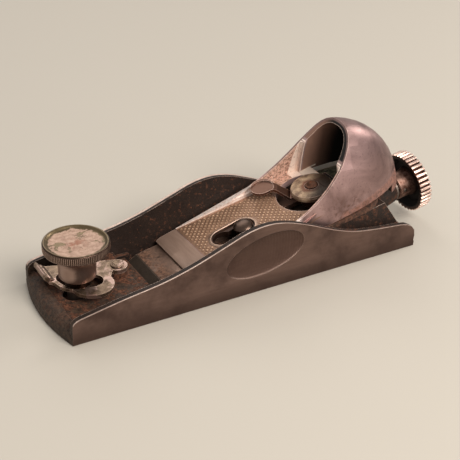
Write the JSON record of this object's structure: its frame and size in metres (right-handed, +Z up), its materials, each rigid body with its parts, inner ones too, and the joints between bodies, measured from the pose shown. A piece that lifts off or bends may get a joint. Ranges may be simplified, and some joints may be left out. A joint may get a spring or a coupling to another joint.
{
  "type": "block plane",
  "caption": "Low-angle metal block plane with a hooded lever cap, a cam lever, a sliding toe plate with a clamping knob, and an end-screw depth feed.",
  "frame": {"origin": "on the sole, at the middle of the cheeks' length and width", "axes": "+X from toe to heel, +Y towards the cheek that the throat lever's tab rests beside, +Z up off the sole"},
  "size_m": [0.195, 0.0518, 0.0593],
  "materials": {
    "ground_iron": "ground grey iron outside, black japanning with rust inside",
    "dull_steel": "dull steel with brown stains",
    "cutter_steel": "grey tool steel, rusty towards the edge",
    "greened_nickel": "nickel plate worn through to greenish brass",
    "worn_nickel": "tarnished nickel plate, worn bright on the edges"
  },
  "bodies": {
    "frame": {"body_casting": "ground_iron", "throat_lever_rivet": "greened_nickel", "screw_retaining_pin": "dull_steel", "thrust_washer": "dull_steel"},
    "toe": {"toe_plate": "ground_iron", "toe_stud": "dull_steel"},
    "knob": {"front_knob": "greened_nickel"},
    "throat_lever": {"throat_lever": "greened_nickel"},
    "cutter": {"cutter": "cutter_steel", "feed_slide": "ground_iron", "feed_dog": "dull_steel"},
    "feed_screw": {"depth_screw": "dull_steel", "depth_wheel": "worn_nickel", "wheel_pin": "dull_steel"},
    "cap": {"lever_cap": "worn_nickel", "cam_rivet": "dull_steel"},
    "cam": {"cam_lever": "worn_nickel"},
    "cap_screw": {"cap_screw": "dull_steel"}
  },
  "joints": [
    {"name": "depth_wheel_turn", "type": "hinge", "parent": "frame", "child": "feed_screw", "pos_m": [0.084, 0, 0.0153], "axis": [-0.9781, 0, -0.2079], "range_deg": [-1800, 180]},
    {"name": "cutter_feed", "type": "slide", "parent": "frame", "child": "cutter", "axis": [-0.9781, 0, -0.2079], "range_m": [-0.005, 0.0005]},
    {"name": "throat_lever_swing", "type": "hinge", "parent": "frame", "child": "throat_lever", "pos_m": [-0.0519, 0.0054, 0.01], "axis": [0, 0, 1], "range_deg": [0, 15]},
    {"name": "toe_slide", "type": "slide", "parent": "frame", "child": "toe", "axis": [1, 0, 0], "range_m": [-0.00165, 0]},
    {"name": "front_knob_turn", "type": "hinge", "parent": "toe", "child": "knob", "pos_m": [-0.072, 0, 0.0111], "axis": [0, 0, 1], "range_deg": [0, 720]},
    {"name": "lever_cap_slide", "type": "slide", "parent": "frame", "child": "cap", "axis": [0.9603, 0, 0.279], "range_m": [0, 0.004]},
    {"name": "cam_lever_swing", "type": "hinge", "parent": "cap", "child": "cam", "pos_m": [0.04321, 0, 0.02755], "axis": [-0.279, 0, 0.9603], "range_deg": [0, 67]},
    {"name": "cap_screw_turn", "type": "hinge", "parent": "frame", "child": "cap_screw", "pos_m": [0.00711, 0, 0.01706], "axis": [-0.279, 0, 0.9603], "range_deg": [0, 720]}
  ],
  "couplings": [
    {"joint": "depth_wheel_turn", "follows": "cutter_feed", "rad_per_m": 6283.2},
    {"joint": "throat_lever_swing", "follows": "toe_slide", "rad_per_m": -158.67}
  ]
}
